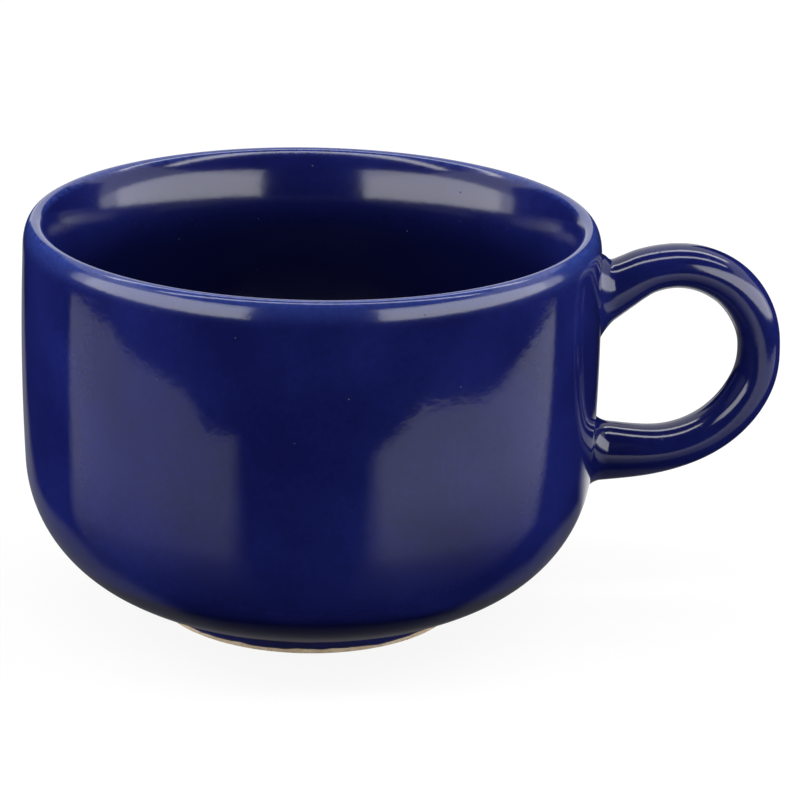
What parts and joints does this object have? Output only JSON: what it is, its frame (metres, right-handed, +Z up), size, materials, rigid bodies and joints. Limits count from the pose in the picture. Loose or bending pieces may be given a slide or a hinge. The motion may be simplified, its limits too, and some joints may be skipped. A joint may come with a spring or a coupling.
{
  "type": "cappuccino cup",
  "caption": "Wide glazed stoneware cappuccino cup with a rounded base, a low foot ring with a bare edge and a ring handle.",
  "frame": {"origin": "centre of the foot ring's standing face, on the bowl's axis", "axes": "+Z up along the bowl's axis, +X from the axis out through the handle"},
  "size_m": [0.141, 0.106, 0.0738],
  "materials": {
    "stoneware": "bare fired stoneware, matt and finely gritty",
    "glaze": "glossy cobalt-blue glaze, thinner and paler on the lip"
  },
  "bodies": {
    "root": {"bowl": "stoneware", "foot_ring": "stoneware", "handle": "stoneware", "upper_slip_joint": "stoneware", "lower_slip_joint": "stoneware", "outer_glaze": "glaze", "inner_glaze": "glaze", "base_glaze": "glaze", "handle_glaze": "glaze"}
  },
  "joints": []
}
